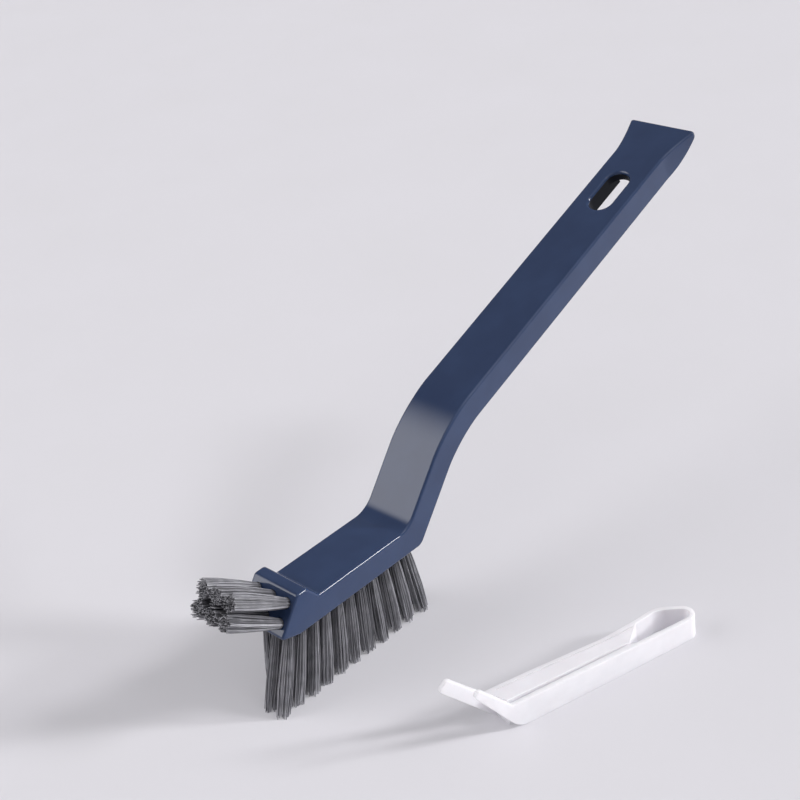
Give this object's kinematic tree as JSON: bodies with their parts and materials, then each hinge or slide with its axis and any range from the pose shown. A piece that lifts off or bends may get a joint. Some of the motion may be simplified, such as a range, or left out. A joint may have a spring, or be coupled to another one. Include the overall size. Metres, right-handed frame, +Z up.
{
  "type": "crevice brush with clip",
  "caption": "Crevice cleaning brush with a cranked handle, slanted and front bristles, a hanging slot and a separate white spring clip with raised tips.",
  "frame": {"origin": "middle of the whole set's footprint, on the surface that the bristle tips and the clip stand on", "axes": "+X along the brush from the bristle nose to the tail, +Z up, so the clip lies on the -Y side of the brush"},
  "size_m": [0.2706, 0.1168, 0.1332],
  "materials": {
    "handle": "glossy navy moulding",
    "bristle": "grey filament",
    "clip": "smooth white moulding"
  },
  "bodies": {
    "brush": {"handle": "handle", "far_tuft_01": "bristle", "far_tuft_02": "bristle", "far_tuft_03": "bristle", "far_tuft_04": "bristle", "far_tuft_05": "bristle", "far_tuft_06": "bristle", "far_tuft_07": "bristle", "far_tuft_08": "bristle", "far_tuft_09": "bristle", "far_tuft_10": "bristle", "far_tuft_11": "bristle", "middle_tuft_01": "bristle", "middle_tuft_02": "bristle", "middle_tuft_03": "bristle", "middle_tuft_04": "bristle", "middle_tuft_05": "bristle", "middle_tuft_06": "bristle", "middle_tuft_07": "bristle", "middle_tuft_08": "bristle", "middle_tuft_09": "bristle", "middle_tuft_10": "bristle", "middle_tuft_11": "bristle", "near_tuft_01": "bristle", "near_tuft_02": "bristle", "near_tuft_03": "bristle", "near_tuft_04": "bristle", "near_tuft_05": "bristle", "near_tuft_06": "bristle", "near_tuft_07": "bristle", "near_tuft_08": "bristle", "near_tuft_09": "bristle", "near_tuft_10": "bristle", "near_tuft_11": "bristle", "nose_lower_tuft_1": "bristle", "nose_lower_tuft_2": "bristle", "nose_lower_tuft_3": "bristle", "nose_upper_tuft_1": "bristle", "nose_upper_tuft_2": "bristle", "nose_upper_tuft_3": "bristle"},
    "clip_base": {"clip_near_arm": "clip"},
    "clip_jaw": {"clip_far_arm": "clip"}
  },
  "joints": [
    {"name": "clip_lift", "type": "slide", "parent": "brush", "child": "clip_base", "axis": [0, 0, 1], "range_m": [0, 0.06]},
    {"name": "clip_squeeze", "type": "hinge", "parent": "clip_base", "child": "clip_jaw", "pos_m": [0.00537, -0.05535, 0], "axis": [0, 0, 1], "range_deg": [-8, 1], "stiffness_Nm_per_rad": 0.5}
  ]
}
